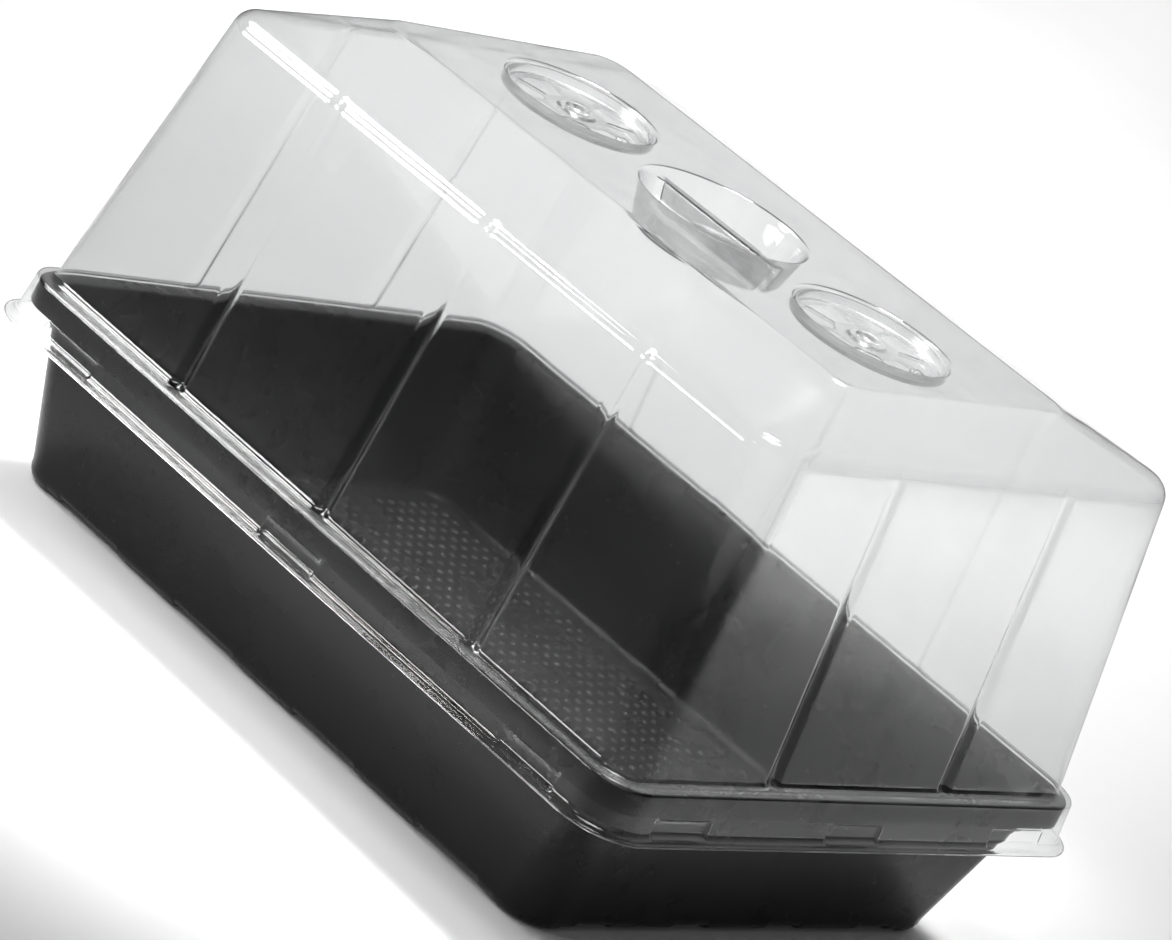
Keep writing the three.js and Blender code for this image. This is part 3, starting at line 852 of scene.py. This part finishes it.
# name, place and what it faces in metres, length and width, watts, spread in degrees
SOFTBOXES = [
    ("overhead", (-1.7, -0.6, 1.85), (0, 0, 0.2), (1.0, 0.8), 2.2, 40),
    ("back_left", (-0.72, 0.85, 1.7), (-0.72, 0.85, 0.0), (1.3, 1.3), 9.2, 60),
    ("far_left", (-1.3, 2.1, 1.7), (-1.3, 2.1, 0.0), (1.3, 1.3), 5.6, 60),
    ("back_right", (1.0, 1.25, 1.5), (1.0, 1.25, 0.0), (0.9, 0.9), 6.0, 44),
    ("top", (0.1, -0.15, 1.7), (0.1, -0.15, 0.0), (0.6, 0.6), 0.45, 40),
    ("inside", (-0.45, 0.45, 1.7), (0.02, -0.06, 0.0), (0.5, 0.5), 2.1, 16),
    ("near", (-0.05, -1.1, 0.8), (-0.1, -0.3, 0.0), (0.4, 0.25), 0.15, 34),
    ("mid_left", (-1.95, -1.6, 1.5), (-0.3, 0.0, 0.1), (0.9, 0.9), 1.0, 28),
    ("front_left", (-2.0, -2.12, 0.5), (0, 0, 0.5), (0.9, 0.7), 1.1, 28),
    ("front_fill", (-1.45, -2.3, 0.75), (0, 0, 0.5), (1.3, 0.7), 0.8, 28),
]


def make_camera():
    a, e = AZIMUTH, ELEVATION
    back = Vector((math.sin(a) * math.cos(e), -math.cos(a) * math.cos(e), math.sin(e)))
    level = Vector((0, 0, 1)).cross(back).normalized()
    rise = back.cross(level)
    right = level * math.cos(ROLL) + rise * math.sin(ROLL)
    up = rise * math.cos(ROLL) - level * math.sin(ROLL)
    place = right * LOOK_AT[0] + up * LOOK_AT[1] + back * DISTANCE
    place.z += LEDGE_HEIGHT
    camera = bpy.data.objects.new("camera", bpy.data.cameras.new("camera"))
    bpy.context.scene.collection.objects.link(camera)
    turn = Matrix((right, up, back)).transposed().to_4x4()
    camera.matrix_world = Matrix.Translation(place * MM) @ turn
    camera.data.lens = LENS
    camera.data.sensor_width = SENSOR
    camera.data.clip_start = 0.05
    camera.data.clip_end = 60.0
    bpy.context.scene.camera = camera
    return camera


def make_floor():
    skin = Skin()
    places = [(2 * i / FLOOR_PARTS - 1) * FLOOR_HALF for i in range(FLOOR_PARTS + 1)]
    grid = [skin.ring([(x, y, -FLOOR_DROP) for x in places]) for y in places]
    for low, high in zip(grid, grid[1:]):
        for i in range(FLOOR_PARTS):
            skin.bm.faces.new((low[i], low[i + 1], high[i + 1], high[i]))
    floor = skin.object("studio_floor", studio_floor())
    return floor


def softbox(name, place, aim, size, power, spread):
    light = bpy.data.lights.new(name, "AREA")
    light.shape = "RECTANGLE"
    light.size, light.size_y = size
    light.energy = power
    light.spread = math.radians(spread)
    made = bpy.data.objects.new(name, light)
    bpy.context.scene.collection.objects.link(made)
    made.location = place
    made.rotation_euler = (Vector(aim) - Vector(place)).to_track_quat("-Z", "Y").to_euler()


def make_light():
    """A dark studio with a soft glow behind the object, a fainter one before it, and the softboxes."""
    world = bpy.data.worlds.new("studio")
    bpy.context.scene.world = world
    world.use_nodes = True
    g = Graph(world.node_tree)
    direction = g.node("ShaderNodeTexCoord").outputs["Generated"]

    def lobe(toward, low, high, glow):
        """A glow that rises as the view comes nearer to one direction."""
        aim = g.node("ShaderNodeVectorMath")
        aim.operation = "DOT_PRODUCT"
        g.set(aim, 0, direction)
        aim.inputs[1].default_value = Vector(toward).normalized()
        return g.remap(aim.outputs["Value"], low, high, 0.0, glow)

    back = g.math("POWER", lobe((-0.3, 0.85, 0.42), 0.5, 0.94, 0.68), 1.8)
    front = lobe((0.6, -0.8, 0.15), 0.55, 1.0, 0.45)
    colour = g.math("ADD", g.math("ADD", back, front), 0.004)
    shade = g.node("ShaderNodeBackground", Color=colour)
    shade.inputs["Strength"].default_value = 1.0
    g.surface(shade.outputs["Background"], "ShaderNodeOutputWorld")
    for box in SOFTBOXES:
        softbox(*box)
    bpy.context.scene.view_settings.view_transform = "Standard"


# ---- build ----------------------------------------------------------------------------------------

make_camera()
dome_plastic = clear_plastic("clear_plastic", (0.83, 0.835, 0.835), 0.025, 0.045, 0.1)
vent_plastic = clear_plastic("vent_plastic", (0.95, 0.96, 0.96), 0.12, 0.2, 0.08)
black = black_plastic()
make_dome(dome_plastic)
for vent, vent_x in VENTS.items():
    make_disc(vent, vent_x, vent_plastic)
    make_stud(vent, vent_x, vent_plastic)
make_tray(black)
make_pips(black)
make_floor()
make_light()
